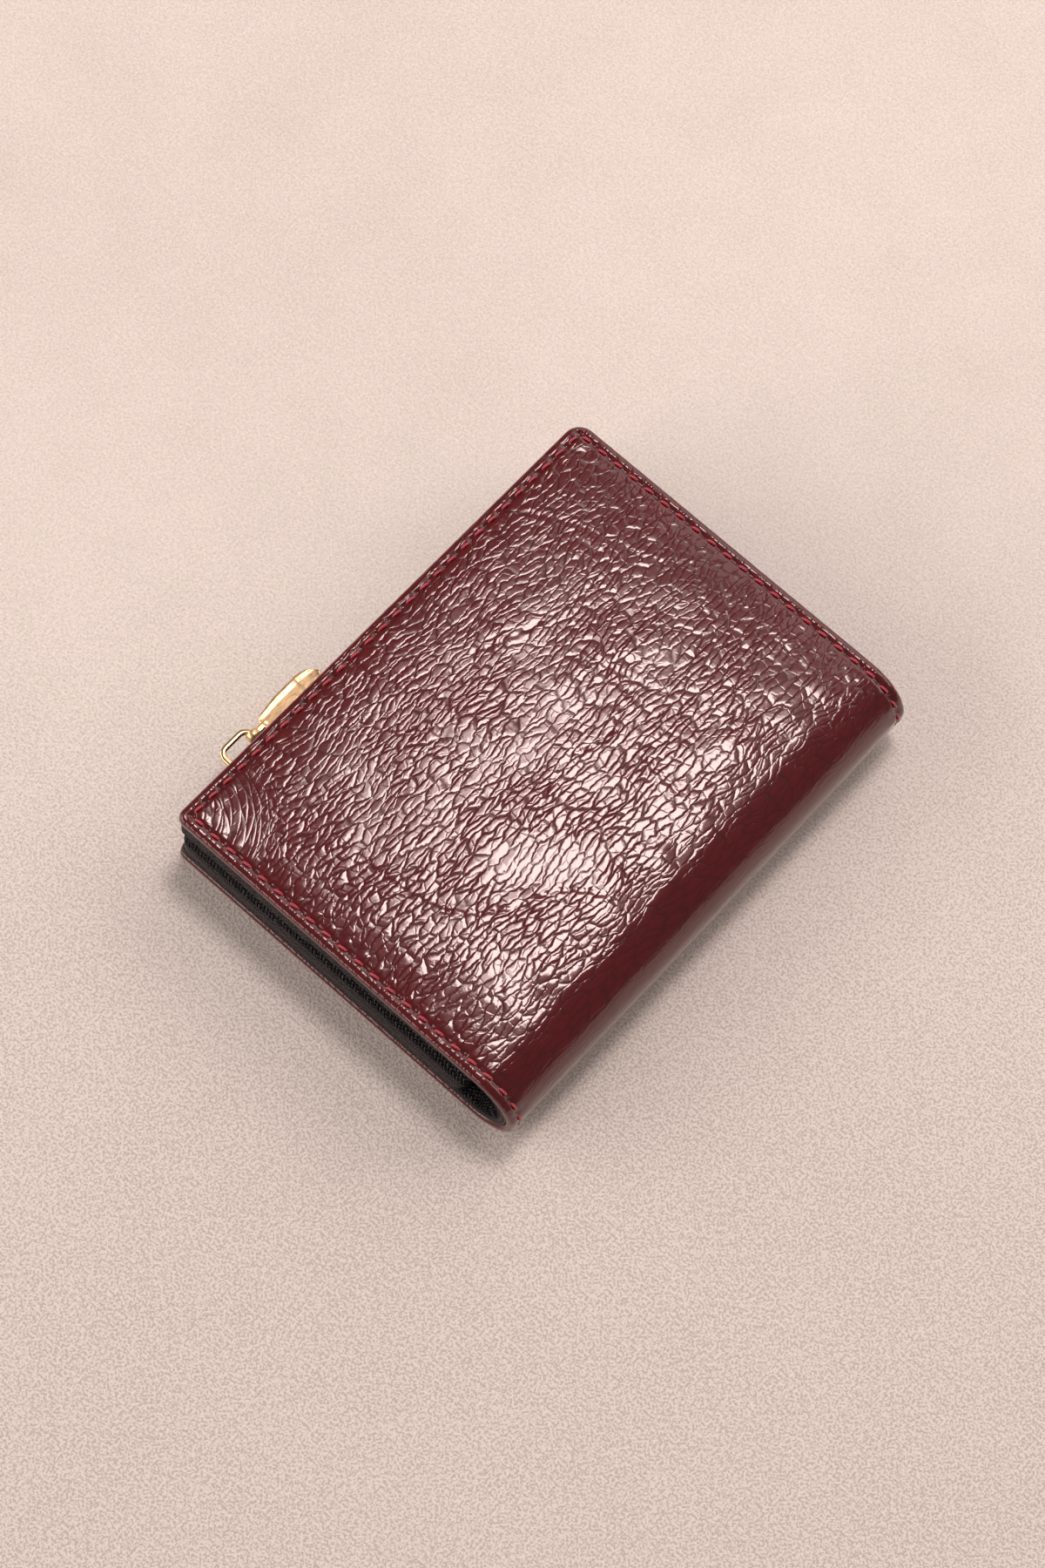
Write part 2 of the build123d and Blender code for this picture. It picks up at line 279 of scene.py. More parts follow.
def newMaterial(name, shader):
    # shader holds what is the same all over the surface, set on the shader's own sockets
    material = bpy.data.materials.new(name)
    material.use_nodes = True
    tree = material.node_tree
    surface = tree.nodes["Principled BSDF"]
    for key, value in shader.items():
        surface.inputs[key].default_value = value
    return material, tree, surface


def newGroup(name, inputs, output):
    # one vector and a few named numbers go in, one number comes out
    tree = bpy.data.node_groups.new(name, "ShaderNodeTree")
    tree.interface.new_socket("Vector", in_out="INPUT", socket_type="NodeSocketVector")
    for label, value in inputs.items():
        socket = tree.interface.new_socket(label, in_out="INPUT", socket_type="NodeSocketFloat")
        socket.default_value = value
    tree.interface.new_socket(output, in_out="OUTPUT", socket_type="NodeSocketFloat")
    start = tree.nodes.new("NodeGroupInput")
    end = tree.nodes.new("NodeGroupOutput")
    return tree, start.outputs, end.inputs


def useGroup(tree, group, inputs):
    made = tree.nodes.new("ShaderNodeGroup")
    made.node_tree = group
    for key, value in inputs.items():
        if isinstance(value, bpy.types.NodeSocket):
            tree.links.new(value, made.inputs[key])
        else:
            made.inputs[key].default_value = value
    return made.outputs


def scaledVector(tree, vector, scale):
    return addNode(tree, "ShaderNodeVectorMath", {0: vector, "Scale": scale}, operation="SCALE").outputs[0]


def patternVector(tree):
    # the piece's own flat coordinates, in millimetres
    return addNode(tree, "ShaderNodeUVMap", uv_map="pattern").outputs[0]


def bump(tree, surface, height, coated=False):
    # height is in millimetres
    made = addNode(tree, "ShaderNodeBump", {"Height": height, "Distance": mm, "Strength": 1.0})
    for name in ("Normal", "Coat Normal") if coated else ("Normal",):
        tree.links.new(made.outputs[0], surface.inputs[name])


def tint(tree, vector, broad, fine):
    return useGroup(tree, mottle, {"Vector": vector, "Broad": broad, "Fine": fine})["Value"]


def limited(tree, value):
    return maths(tree, "MINIMUM", maths(tree, "MAXIMUM", value, 0), 1)


def paint(tree, surface, share, first, second):
    tree.links.new(mixColours(tree, share, first, second), surface.inputs["Base Color"])


def mottleGroup():
    # soft uneven tone: a broad cloud and a fine one, around zero
    tree, given, result = newGroup("mottle", {"Broad": 0.05, "Fine": 1.0}, "Value")
    broad = noise(tree, given["Vector"], given["Broad"], 3.0).outputs[0]
    fine = noise(tree, given["Vector"], given["Fine"], 4.0, 0.6).outputs[0]
    total = maths(tree, "SUBTRACT", weighted(tree, (broad, 0.6), (fine, 0.4)), 0.5)
    tree.links.new(total, result["Value"])
    return tree


def weaveGroup():
    # crossed yarns: two waves at right angles, each on top in turn
    tree, given, result = newGroup("weave", {"Yarns": 3.0, "Slant": 0.0}, "Height")
    parts = addNode(tree, "ShaderNodeSeparateXYZ", {0: given["Vector"]}).outputs
    pace = maths(tree, "MULTIPLY", given["Yarns"], 2 * math.pi)
    leanX = maths(tree, "MULTIPLY", parts[0], given["Slant"])
    leanY = maths(tree, "MULTIPLY", parts[1], given["Slant"])
    x = maths(tree, "MULTIPLY", maths(tree, "ADD", parts[0], leanY), pace)
    y = maths(tree, "MULTIPLY", maths(tree, "SUBTRACT", parts[1], leanX), pace)
    warp = maths(tree, "ABSOLUTE", maths(tree, "SINE", x))
    weft = maths(tree, "ABSOLUTE", maths(tree, "SINE", y))
    turnedOver = maths(tree, "MULTIPLY", maths(tree, "COSINE", x), maths(tree, "COSINE", y))
    over = ramp(tree, turnedOver, -0.3, 0.3)
    height = addNode(tree, "ShaderNodeMix", {0: over, 2: warp, 3: weft}).outputs[0]
    tree.links.new(height, result["Height"])
    return tree


mottle = mottleGroup()
weave = weaveGroup()


# patent leather: sizes in millimetres, scales in waves to the millimetre
patent = {"dark": (0.050, 0.0010, 0.0018, 1), "light": (0.118, 0.0036, 0.0060, 1), "roughness": 0.26,
          "coatRoughness": 0.05, "coatIOR": 1.5, "specular": 0.3, "depth": 0.062,
          "pillowWidth": 1.45, "pillowLength": 4.8, "crownShare": 0.38,
          "crackWidth": 2.4, "crackLength": 3.2, "crackShare": 0.36, "crackSoft": 0.4, "crackEdge": 0.12,
          "fineScale": 0.9, "fineShare": 0.3, "broadScale": 0.055, "broadWander": 6.0,
          "closeScale": 0.55, "closeWander": 0.9, "calmScale": 0.06, "calmLeast": 0.6, "calmMost": 1.15,
          "arcWidth": 1.4, "arcLength": 9.0, "arcWander": 0.2, "arcsEnd": 13, "arcsFade": 22,
          "foldShare": 0.25, "foldInset": 1, "foldFade": 6, "streakDepth": 0.09,
          "streakAcross": 0.9, "streakAlong": 0.05, "toneBroad": 0.06, "toneFine": 1.1,
          "crackShadeTone": 0.5, "toneShift": 0.25}


def stray(tree, vector, scale, detail, reach):
    # a sideways shift that wanders around zero
    colour = noise(tree, vector, scale, detail).outputs["Color"]
    return scaledVector(tree, vectorMaths(tree, "SUBTRACT", colour, (0.5, 0.5, 0.5)), reach)


def roundOff(tree, edge, reach):
    # 1 - (1 - edge / reach) squared: steep at the edge and flat from the reach on
    left = maths(tree, "SUBTRACT", 1.0, maths(tree, "MINIMUM", maths(tree, "DIVIDE", edge, reach), 1.0))
    return maths(tree, "SUBTRACT", 1.0, maths(tree, "MULTIPLY", left, left))


def pillowGroup():
    # one family of cells: a pillow that rounds off towards a thin sharp crack
    tree, given, result = newGroup(
        "pillows", {"Across": 0.6, "Along": 0.25, "Soft": 0.5, "Crack": 0.22}, "Height")
    size = addNode(tree, "ShaderNodeCombineXYZ", {0: given["Across"], 1: given["Along"]}).outputs[0]
    where = vectorMaths(tree, "MULTIPLY", given["Vector"], size)
    inputs = {"Vector": where, "Scale": 1.0, "Randomness": 0.9}
    edge = addNode(tree, "ShaderNodeTexVoronoi", inputs, feature="DISTANCE_TO_EDGE",
                   voronoi_dimensions="2D").outputs["Distance"]
    crown = maths(tree, "MULTIPLY", roundOff(tree, edge, given["Soft"]), patent["crownShare"])
    valley = maths(tree, "MULTIPLY", roundOff(tree, edge, given["Crack"]), 1 - patent["crownShare"])
    tree.links.new(maths(tree, "ADD", crown, valley), result["Height"])
    return tree


def patentLeather():
    # long pillows side by side, cut across by finer cracks, under a clear glossy skin; about
    # the near open corner they lie in arcs
    material, tree, surface = newMaterial("patentLeather", {
        "Roughness": patent["roughness"], "Coat Weight": 1.0, "Coat Roughness": patent["coatRoughness"],
        "Coat IOR": patent["coatIOR"], "Specular IOR Level": patent["specular"]})
    flat = patternVector(tree)
    arcs = addNode(tree, "ShaderNodeUVMap", uv_map="arcs").outputs[0]
    wander = vectorMaths(
        tree, "ADD", stray(tree, flat, patent["broadScale"], 2.0, patent["broadWander"]),
        stray(tree, flat, patent["closeScale"], 1.0, patent["closeWander"]))
    bent = vectorMaths(tree, "ADD", flat, wander)
    bentArcs = vectorMaths(tree, "ADD", arcs, scaledVector(tree, wander, patent["arcWander"]))
    pillows = useGroup(tree, pillow, {"Vector": bent, "Across": 1 / patent["pillowWidth"],
                                      "Along": 1 / patent["pillowLength"]})["Height"]
    cracks = useGroup(tree, pillow, {
        "Vector": bent, "Across": 1 / patent["crackWidth"], "Along": 1 / patent["crackLength"],
        "Soft": patent["crackSoft"], "Crack": patent["crackEdge"]})["Height"]
    bows = useGroup(tree, pillow, {"Vector": bentArcs, "Across": 1 / patent["arcWidth"],
                                   "Along": 1 / patent["arcLength"]})["Height"]
    fine = noise(tree, bent, patent["fineScale"], 2.0).outputs[0]
    reach = addNode(tree, "ShaderNodeSeparateXYZ", {0: arcs}).outputs[0]
    nearCorner = ramp(tree, reach, patent["arcsFade"], patent["arcsEnd"])
    rows = addNode(tree, "ShaderNodeMix", {0: nearCorner, 2: pillows, 3: bows}).outputs[0]
    valleys = ramp(tree, cracks, 0, 1, 1 - patent["crackShare"], 1, "LINEAR")
    height = maths(tree, "MINIMUM", rows, valleys)
    height = weighted(tree, (height, 1), (fine, patent["fineShare"]))
    # the fold is smoother, with long streaks round it
    across = addNode(tree, "ShaderNodeSeparateXYZ", {0: flat}).outputs[0]
    starts = flatRun + patent["foldInset"]
    full = starts + patent["foldFade"]
    onFold = maths(tree, "MULTIPLY", ramp(tree, across, starts, full),
                   ramp(tree, across, 2 * halfRun - starts, 2 * halfRun - full))
    calm = ramp(tree, noise(tree, flat, patent["calmScale"], 2.0).outputs[0], 0.35, 0.65,
                patent["calmLeast"], patent["calmMost"])
    amount = maths(tree, "MULTIPLY", calm, ramp(tree, onFold, 0, 1, 1, patent["foldShare"], "LINEAR"))
    height = maths(tree, "MULTIPLY", height, maths(tree, "MULTIPLY", amount, patent["depth"]))
    drawnOut = vectorMaths(tree, "MULTIPLY", bent, (patent["streakAcross"], patent["streakAlong"], 0))
    streaks = maths(tree, "MULTIPLY", noise(tree, drawnOut, 1.0, 3.0).outputs[0], onFold)
    height = weighted(tree, (height, 1), (streaks, patent["streakDepth"]))
    bump(tree, surface, height, coated=True)
    tone = tint(tree, flat, patent["toneBroad"], patent["toneFine"])
    # the colour is painted darker in the cracks and lighter on the pillow tops, as painted shade, and is
    # also varied by an uneven tone
    share = weighted(tree, (rows, patent["crackShadeTone"]), (tone, 1), (patent["toneShift"], 1))
    paint(tree, surface, limited(tree, share), patent["dark"], patent["light"])
    return material


pillow = pillowGroup()


# black leather, cloth, board, thread and metal: colours from dark to light, depths of relief in
# millimetres, yarns and waves to the millimetre
crossGrain = {"dark": (0.004, 0.0038, 0.0042, 1), "light": (0.020, 0.019, 0.021, 1), "coat": 0.5,
              "coatRoughness": 0.2, "specular": 0.25, "looseScale": 0.9, "loose": 0.5, "ridges": 0.62,
              "slant": 0.55, "ridgeDepth": 0.28, "fineScale": 3.4, "fineDepth": 0.22, "valleyShadeTone": 0.6,
              "toneBroad": 0.08, "toneFine": 1.5, "valleyRough": 0.55, "topRough": 0.34}
lining = {"dark": (0.008, 0.0077, 0.008, 1), "light": (0.030, 0.029, 0.031, 1), "yarns": 1.6,
          "slant": 1.0, "depth": 0.05}
tape = {"dark": (0.005, 0.005, 0.006, 1), "light": (0.030, 0.029, 0.032, 1), "yarns": 1.25,
        "slant": 0.0, "depth": 0.06}
cloth = {"roughness": 0.85, "sheen": 0.25, "sheenRoughness": 0.5, "fuzzScale": 5.0, "yarnShadeTone": 0.7,
         "toneBroad": 0.1, "toneFine": 2.0}
board = {"dark": (0.24, 0.19, 0.14, 1), "light": (0.45, 0.38, 0.29, 1), "roughness": 0.9,
         "fibres": (0.6, 3.6, 1.2), "depth": 0.04, "toneBroad": 0.05, "toneFine": 2.5}
thread = {"dark": (0.26, 0.010, 0.022, 1), "light": (0.80, 0.075, 0.12, 1), "roughness": 0.42,
          "sheen": 0.3, "coat": 0.25, "coatRoughness": 0.3, "twist": 1.9, "plies": 2, "plyDepth": 0.05,
          "fuzzScale": 9.0, "fuzzDepth": 0.03, "plyShadeTone": 0.3, "toneShift": 0.05}
gold = {"deep": (0.78, 0.55, 0.27, 1), "bright": (0.95, 0.76, 0.47, 1), "marks": (6, 0.6, 6),
        "markDepth": 0.004, "smoothest": 0.7, "roughest": 1.4, "toneRough": 0.12, "toneBroad": 0.25,
        "toneFine": 2.2}


def crossGrainLeather():
    # short slanting ridges that cross, pressed into the hide, with worn glossy tops
    material, tree, surface = newMaterial("blackCrossGrain", {
        "Coat Weight": crossGrain["coat"], "Coat Roughness": crossGrain["coatRoughness"],
        "Specular IOR Level": crossGrain["specular"]})
    flat = patternVector(tree)
    strayed = noise(tree, flat, crossGrain["looseScale"], 2.0).outputs["Color"]
    loose = vectorMaths(tree, "ADD", flat, scaledVector(tree, strayed, crossGrain["loose"]))
    grain = useGroup(tree, weave, {"Vector": loose, "Yarns": crossGrain["ridges"],
                                   "Slant": crossGrain["slant"]})["Height"]
    fine = noise(tree, flat, crossGrain["fineScale"], 3.0).outputs[0]
    height = weighted(tree, (grain, crossGrain["ridgeDepth"]), (fine, crossGrain["fineDepth"]))
    bump(tree, surface, height, coated=True)
    tone = tint(tree, flat, crossGrain["toneBroad"], crossGrain["toneFine"])
    # the ridges are painted lighter and the valleys between them darker, as painted shade, over an uneven
    # tone
    share = weighted(tree, (grain, crossGrain["valleyShadeTone"]), (tone, 1))
    paint(tree, surface, share, crossGrain["dark"], crossGrain["light"])
    rough = ramp(tree, grain, 0, 1, crossGrain["valleyRough"], crossGrain["topRough"])
    tree.links.new(rough, surface.inputs["Roughness"])
    return material


def wovenCloth(name, kind):
    # crossed yarns with a little fuzz on top
    material, tree, surface = newMaterial(name, {
        "Roughness": cloth["roughness"], "Sheen Weight": cloth["sheen"],
        "Sheen Roughness": cloth["sheenRoughness"]})
    flat = patternVector(tree)
    height = useGroup(tree, weave, {"Vector": flat, "Yarns": kind["yarns"],
                                    "Slant": kind["slant"]})["Height"]
    fuzz = noise(tree, flat, cloth["fuzzScale"], 2.0).outputs[0]
    bump(tree, surface, maths(tree, "MULTIPLY", maths(tree, "ADD", height, fuzz), kind["depth"]))
    tone = tint(tree, flat, cloth["toneBroad"], cloth["toneFine"])
    # the yarns are painted lighter where they cross over and darker where they dip under, as painted
    # shade, over an uneven tone
    share = weighted(tree, (height, cloth["yarnShadeTone"]), (tone, 1))
    paint(tree, surface, share, kind["dark"], kind["light"])
    return material


def fibreBoard():
    # pressed fibres, drawn out one way
    material, tree, surface = newMaterial("fibreBoard", {"Roughness": board["roughness"]})
    flat = patternVector(tree)
    drawnOut = vectorMaths(tree, "MULTIPLY", flat, board["fibres"])
    fibres = noise(tree, drawnOut, 1.0, 4.0, 0.7).outputs[0]
    share = maths(tree, "ADD", fibres, tint(tree, flat, board["toneBroad"], board["toneFine"]))
    paint(tree, surface, share, board["dark"], board["light"])
    bump(tree, surface, maths(tree, "MULTIPLY", fibres, board["depth"]))
    return material


def twistedThread():
    # two plies wound together: slanting bands along each stitch
    material, tree, surface = newMaterial("twistedThread", {
        "Roughness": thread["roughness"], "Sheen Weight": thread["sheen"],
        "Coat Weight": thread["coat"], "Coat Roughness": thread["coatRoughness"]})
    flat = patternVector(tree)
    parts = addNode(tree, "ShaderNodeSeparateXYZ", {0: flat}).outputs
    turns = weighted(tree, (parts[0], thread["twist"]), (parts[1], thread["plies"]))
    angle = maths(tree, "MULTIPLY", turns, 2 * math.pi)
    wound = maths(tree, "SINE", angle)
    fuzz = noise(tree, flat, thread["fuzzScale"], 2.0).outputs[0]
    bump(tree, surface, weighted(tree, (wound, thread["plyDepth"]), (fuzz, thread["fuzzDepth"])))
    # the grooves between the plies are painted darker as shade, and the fuzz adds an uneven tone
    share = weighted(tree, (wound, thread["plyShadeTone"]), (fuzz, 1), (thread["toneShift"], 1))
    paint(tree, surface, share, thread["dark"], thread["light"])
    return material


def paleGold(name, roughness):
    # plated metal with faint polishing marks and fingerprints
    material, tree, surface = newMaterial(name, {"Metallic": 1.0})
    where = tree.nodes.new("ShaderNodeTexCoord").outputs["Object"]
    millimetres = scaledVector(tree, where, 1 / mm)
    drawnOut = vectorMaths(tree, "MULTIPLY", millimetres, gold["marks"])
    marks = noise(tree, drawnOut, 1.0, 3.0).outputs[0]
    tone = tint(tree, millimetres, gold["toneBroad"], gold["toneFine"])
    paint(tree, surface, maths(tree, "ADD", tone, 0.5), gold["deep"], gold["bright"])
    worn = ramp(tree, marks, 0.3, 0.7, roughness * gold["smoothest"], roughness * gold["roughest"])
    rough = weighted(tree, (worn, 1), (tone, gold["toneRough"]))
    tree.links.new(rough, surface.inputs["Roughness"])
    bump(tree, surface, maths(tree, "MULTIPLY", marks, gold["markDepth"]))
    return material


patentMaterial = patentLeather()
innerMaterial = crossGrainLeather()
liningMaterial = wovenCloth("liningTwill", lining)
tapeMaterial = wovenCloth("zipTape", tape)
boardMaterial = fibreBoard()
threadMaterial = twistedThread()
goldMaterial = paleGold("paleGold", 0.16)
satinMaterial = paleGold("satinGold", 0.34)
teethMaterial = paleGold("goldTeeth", 0.28)
print("materials are made")


# outer leather: one piece for each half, meeting in the middle of the fold
leather = {"edgeBulge": 0.85, "cornerNear": 1.2, "cornerFar": 2.8, "turned": 8.0,
           "domeHeight": 1.25, "domeRun": 9.0, "foldDome": 0.15, "flatCorner": 15.0, "flatShare": 0.75,
           "shoulderFrom": -8.0, "shoulderTo": 7.0, "shoulderWobble": 2.0, "wobbleWave": 11.0,
           "waveHeight": 0.035, "wave": 13.0, "smallShare": 0.35, "smallWave": 4.2, "smallStretch": 2.2,
           "calmFrom": 2.5, "calmTo": 10.0, "foldCalm": 0.5, "lyingTo": 2.0,
           "creaseShare": 0.85, "cornerLift": 0.52, "liftReach": 10.0,
           "pitch": 4.0, "seamDepth": 0.26, "seamWidth": 0.45, "holeDepth": 0.30,
           "beadHeight": 0.10, "beadAt": 0.55, "beadWidth": 0.7,
           "pucker": 0.05, "innerPucker": 0.065, "puckerAt": 1.5, "puckerWidth": 1.1,
           "fineStep": 0.27, "coarseStep": 0.46, "fineBorder": 6.2, "joinBand": 0.5, "joinStep": 0.12}
seamU = seamLow[0] + (seamHigh[2] - seamLow[2]) / 2 - openX
seamHalf = halfLength - seamU
stitchesAlong = round(2 * seamHalf / leather["pitch"])
stitchesAcross = round((halfRun - seamU) / leather["pitch"])

# creases from one point to another, millimetres from the open edge and from the near end:
# start, end, sideways bow, depth
creases = [((46, 80), (49.5, 70), 0.8, 0.16), ((49.5, 70), (46.3, 60), -0.7, 0.18),
           ((46.3, 60), (52, 44), 1.2, 0.12), ((56, 69.5), (67, 68.4), 0.3, 0.16),
           ((33, 78), (53, 83), 0.9, 0.08), ((33, 75.5), (50, 77), -0.8, 0.07),
           ((49, 20), (61, 35), 2.0, 0.14), ((61, 35), (73, 44), -1.8, 0.12),
           ((4, 91), (27, 100), -1.5, 0.10), ((27, 100), (39, 109), 1.2, 0.10),
           ((11, 38), (23, 46), 1.5, 0.08), ((23, 46), (36, 43), -1.0, 0.07),
           ((18, 62), (26, 92), 1.8, 0.08), ((60, 55), (72, 48), 1.0, 0.09),
           ((30, 18), (52, 21), 1.4, 0.09), ((58, 24), (74, 8), -1.6, 0.10)]
creaseForm = {"fadeIn": 1.5, "fadeOut": 1.0, "wander": 0.25, "wanderPace": 2.1,
              "lip": 0.45, "lipWidth": 1.3, "groove": 1.2, "grooveWidth": 0.42}


def ripples(u, v, wave, seed, stretch=1.0):
    # a sum of twelve sine waves of about one wavelength, in seeded directions
    dice = np.random.default_rng(seed)
    angle, phase = dice.uniform(0, 2 * np.pi, (2, 12))
    pace = 2 * np.pi / (wave * dice.uniform(0.7, 1.5, 12))
    across, along = np.cos(angle) * pace, np.sin(angle) * pace / stretch
    total = np.zeros(np.shape(u))
    for a, b, c in zip(across, along, phase):
        total = total + np.sin(a * u + b * v + c)
    return total / math.sqrt(12)


def hump(distance, width):
    # one at the middle, falling away as a bell: exp of minus distance over width, squared
    return np.exp(-(distance / width) ** 2)


def creaseLine(u, w, crease):
    # a groove with a soft lip on each side, along a bowed line that fades out at its ends
    form = creaseForm
    (u0, w0), (u1, w1), bow, depth = crease
    run = math.hypot(u1 - u0, w1 - w0)
    along = ((u - u0) * (u1 - u0) + (w - w0) * (w1 - w0)) / run
    across = ((u - u0) * (w1 - w0) - (w - w0) * (u1 - u0)) / run
    t = np.clip(along / run, 0, 1)
    gap = across - bow * 4 * t * (1 - t) - form["wander"] * np.sin(along * form["wanderPace"] + u0)
    inside = smoothStep(-form["fadeOut"], form["fadeIn"], along)
    inside = inside * smoothStep(run + form["fadeOut"], run - form["fadeIn"], along)
    lips = form["lip"] * hump(gap, form["lipWidth"])
    return depth * inside * (lips - form["groove"] * hump(gap, form["grooveWidth"]))


def leatherRise(u, v, side):
    # how far the leather stands out from the flat cover: a dome that dies away to the edges,
    # a puffed bead outside the seam, the seam's groove with its holes, waves and creases
    near, far = halfLength + v, halfLength - v
    edge = np.minimum(u, np.minimum(near, far))
    whole = u if side == "front" else 2 * halfRun - u
    fromCorner = np.hypot(u, near)
    run = leather["domeRun"]
    dome = (1 - np.exp(-u / run)) * (1 - np.exp(-near / run)) * (1 - np.exp(-far / run))
    dome = dome * (1 - leather["flatShare"] * np.exp(-(fromCorner / leather["flatCorner"]) ** 3))
    wobble = leather["shoulderWobble"] * ripples(0 * u, v, leather["wobbleWave"], 21)
    onFold = smoothStep(flatRun + leather["shoulderFrom"] + wobble, flatRun + leather["shoulderTo"], u)
    rise = leather["domeHeight"] * dome * (1 - (1 - leather["foldDome"]) * onFold)
    calm = smoothStep(leather["calmFrom"], leather["calmTo"], edge) * (1 - leather["foldCalm"] * onFold)
    small = ripples(whole, v, leather["smallWave"], 9, leather["smallStretch"])
    waves = ripples(whole, v, leather["wave"], 4) + leather["smallShare"] * small
    rise = rise + leather["waveHeight"] * calm * waves
    # the back half lies flat on the table and rises only round the fold
    lifted = smoothStep(flatRun + leather["lyingTo"], halfRun, u)
    if side == "front":
        lifted = 1.0
        for crease in creases:
            rise = rise + leather["creaseShare"] * creaseLine(u, near, crease)
        rise = rise + leather["cornerLift"] * hump(fromCorner, leather["liftReach"])
    beat = np.cos(2 * np.pi * seamPhase(u, v))
    atBead = hump(edge - leather["beadAt"] * seamU, leather["beadWidth"])
    atPucker = hump(edge - seamU - leather["puckerAt"], leather["puckerWidth"])
    groove = leather["seamDepth"] + leather["holeDepth"] * np.maximum(beat, 0) ** 2
    bead = (leather["beadHeight"] - leather["pucker"] * beat) * atBead
    bead = bead - leather["innerPucker"] * beat * atPucker
    bead = bead - groove * hump(edge - seamU, leather["seamWidth"])
    return rise * lifted + bead - (1 - lifted) * np.maximum(bead, 0)


def seamPhase(u, v):
    # counts stitches along the seam, whole numbers at the holes
    alongOpen = u < halfLength - np.abs(v)
    return np.where(alongOpen, (v + seamHalf) * stitchesAlong / (2 * seamHalf),
                    (u - seamU) * stitchesAcross / (halfRun - seamU))


def wholeFlat(u, v, side):
    # flat coordinates of the whole leather: the back half runs on from the front half
    return np.stack([u if side == "front" else 2 * halfRun - u, v], -1)


def cornerArcs(u, v):
    # distance from the near corner of the open edge, and length along the arc about it
    radius = np.hypot(u, halfLength + v)
    return np.stack([radius, radius * np.arctan2(halfLength + v, u)], -1)


def outerLeather(side):
    # the skin of one half, turned in round its edges on to the board
    bulge = leather["edgeBulge"]
    v1 = halfLength - bulge
    fine, coarse = leather["fineStep"], leather["coarseStep"]
    rim, join = leather["fineBorder"], leather["joinBand"]
    uLine = steppedLine([bulge, rim, halfRun - join, halfRun], [fine, coarse, leather["joinStep"]])
    vLine = steppedLine([-v1, rim - halfLength, halfLength - rim, v1], [fine, coarse, fine])
    border = leather["turned"] - bulge
    boardDepth, innerDepth = boardLow[2], coverHigh[2]
    shape = slabShape(
        uLine, vLine, lambda u, v, d: place(u, v, d, side), lambda u, v: -leatherRise(u, v, side),
        innerDepth, bulge, (leather["cornerNear"], leather["cornerFar"], 0, 0), cut=True, rimRows=8,
        steps=[(border, border, border, innerDepth), (border, border, border, boardDepth)], shear=0)
    points, faces, flat = shape
    u, v = flat[:, 0], flat[:, 1]
    piece = makePiece(f"{side}_leather", (points, faces, wholeFlat(u, v, side)), patentMaterial,
                      (f"{side}_cover", "fold_cover"), cut=True,
                      extraFlat={"arcs": cornerArcs(u, v)})
    bendWithFold(piece, side, innerDepth)


for side in ("back", "front"):
    outerLeather(side)
print("outer leather is made")


# seam round the free edges of each half
stitching = {"length": 2.5, "radius": 0.27, "lift": 0.30, "pressed": -0.04, "sink": 0.34, "slant": 0.12,
             "intoGroove": 0.2, "blunt": 1.02, "patternStep": 7.3, "rings": 7, "around": 6}


def seamStitches(side):
    # each stitch is a thin capsule that rises out of one hole and dives into the next
    pitchAlong = 2 * seamHalf / stitchesAlong
    pitchAcross = (halfRun - seamU) / stitchesAcross
    alongV = -seamHalf + pitchAlong * (np.arange(stitchesAlong) + 0.5)
    acrossU = seamU + pitchAcross * (np.arange(stitchesAcross) + 0.5)
    u = np.concatenate([np.full(alongV.shape, seamU), acrossU, acrossU])
    v = np.concatenate([alongV, np.full(acrossU.shape, -seamHalf), np.full(acrossU.shape, seamHalf)])
    down = np.concatenate([np.ones(alongV.shape), np.zeros(2 * len(acrossU))])
    slant = stitching["slant"]
    du, dv = np.where(down > 0, slant, 1.0), np.where(down > 0, 1.0, slant)
    t = np.linspace(-1, 1, stitching["rings"])[None, :, None]
    turns = 2 * np.pi * np.arange(stitching["around"])[None, None, :] / stitching["around"]
    radius = stitching["radius"] * np.sqrt(stitching["blunt"] - t ** 4)
    reach = stitching["length"] / 2 * t
    u, v, du, dv = (a[:, None, None] for a in (u, v, du, dv))
    middleU, middleV = u + du * reach, v + dv * reach
    depth = -leatherRise(np.broadcast_to(u, middleU.shape), np.broadcast_to(v, middleV.shape), side)
    lift = stitching["lift"] if side == "front" else stitching["pressed"]
    depth = depth - leather["seamDepth"] * stitching["intoGroove"]
    depth = depth - lift * (1 - t * t) + stitching["sink"] * t ** 4
    sideways = radius * np.cos(turns)
    stitchU = middleU - dv * sideways
    stitchV = middleV + du * sideways
    stitchDepth = depth - radius * np.sin(turns)
    count, rings, around = stitchU.shape
    points = place(stitchU.ravel(), stitchV.ravel(), stitchDepth.ravel(), side)
    index = np.arange(count * rings * around).reshape(count, rings, around)
    ring = np.concatenate([index, index[:, :, :1]], 2)
    quads = np.stack([ring[:, :-1, :-1], ring[:, 1:, :-1], ring[:, 1:, 1:], ring[:, :-1, 1:]], -1)
    faces = quads.reshape(-1, 4).tolist() + index[:, 0].tolist() + index[:, -1].tolist()
    alongThread = reach + stitching["patternStep"] * np.arange(count)[:, None, None]
    flat = np.stack([np.broadcast_to(alongThread, stitchU.shape).ravel(),
                     np.broadcast_to(turns / (2 * np.pi), stitchU.shape).ravel()], -1)
    piece = makePiece(f"{side}_seam", (points, faces, flat), threadMaterial,
                      (f"{side}_stitching", "fold_stitching"))
    bendWithFold(piece, side, coverHigh[2])


for side in ("back", "front"):
    seamStitches(side)
print("seams are sewn")


# board, lining and inner panel of each half
inner = {"gap": 0.4, "boardBulge": 0.1, "liningBulge": 0.15, "panelBulge": 0.38, "hem": 7.6,
         "crease": 1.6, "creaseWidth": 0.28, "creaseDepth": 0.10, "sag": 0.05, "sagWave": 17.0,
         "step": 1.6, "edgeBand": 3.0, "edgeStep": 0.4, "foldStep": 0.6}


def creased(edge, depth):
    # the line that an edge creaser leaves, a little inside an edge
    return depth * hump(edge - inner["crease"], inner["creaseWidth"])


